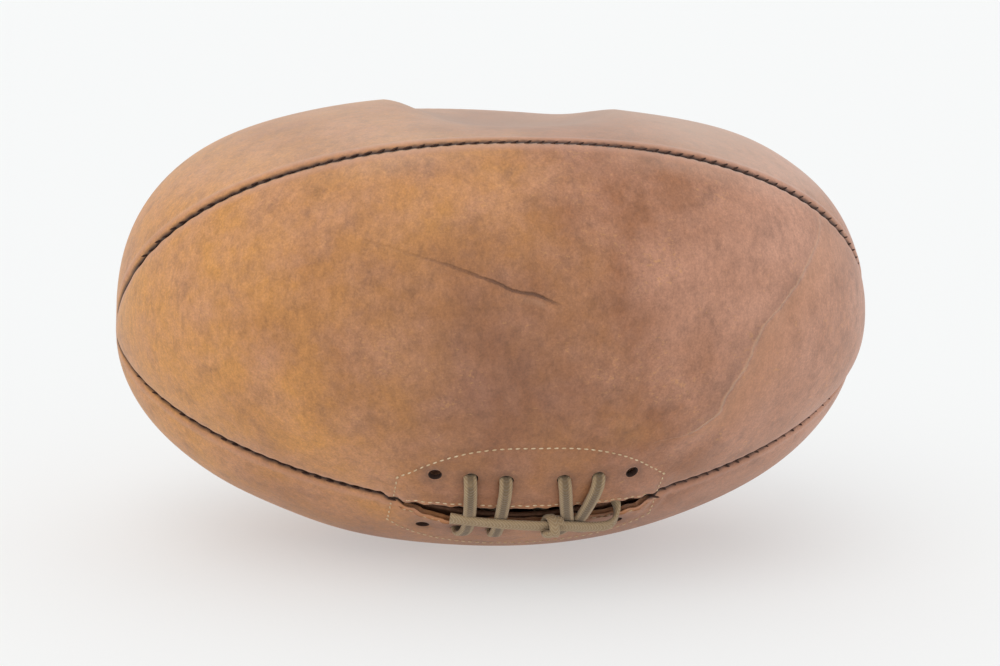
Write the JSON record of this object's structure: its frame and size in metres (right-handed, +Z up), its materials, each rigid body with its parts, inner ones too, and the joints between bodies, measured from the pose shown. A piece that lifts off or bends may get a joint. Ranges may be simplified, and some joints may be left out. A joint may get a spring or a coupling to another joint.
{
  "type": "rugby ball",
  "caption": "Old laced leather rugby ball, partly deflated, with stitched panels, a lace slot with facings and a tongue, and a rubber bladder inside.",
  "frame": {"origin": "bottom centre of the object's box, in the middle of the patch that the ball rests on", "axes": "+X along the ball's long axis, -Y towards the laced side, +Z up from the resting surface"},
  "size_m": [0.284, 0.2048, 0.1667],
  "materials": {
    "casing_leather": "aged, worn, satin",
    "facing_leather": "rough, matte",
    "tongue_leather": "dark, matte",
    "bladder_rubber": "matte",
    "seam_thread": "waxed, dark",
    "facing_thread": "matte",
    "tie_cord": "matte",
    "lace_cotton": "woven, soiled, matte"
  },
  "bodies": {
    "root": {"front_panel": "casing_leather", "top_panel": "casing_leather", "back_panel": "casing_leather", "bottom_panel": "casing_leather", "upper_lace_facing": "facing_leather", "lower_lace_facing": "facing_leather", "tongue": "tongue_leather", "bladder": "bladder_rubber", "seam_thread_top_front": "seam_thread", "seam_thread_top_back": "seam_thread", "seam_thread_bottom_back": "seam_thread", "seam_thread_front_bottom_left": "seam_thread", "seam_thread_front_bottom_right": "seam_thread", "upper_facing_stitching": "facing_thread", "lower_facing_stitching": "facing_thread", "stem_tie": "tie_cord", "lace": "lace_cotton", "lace_knot": "lace_cotton"}
  },
  "joints": []
}
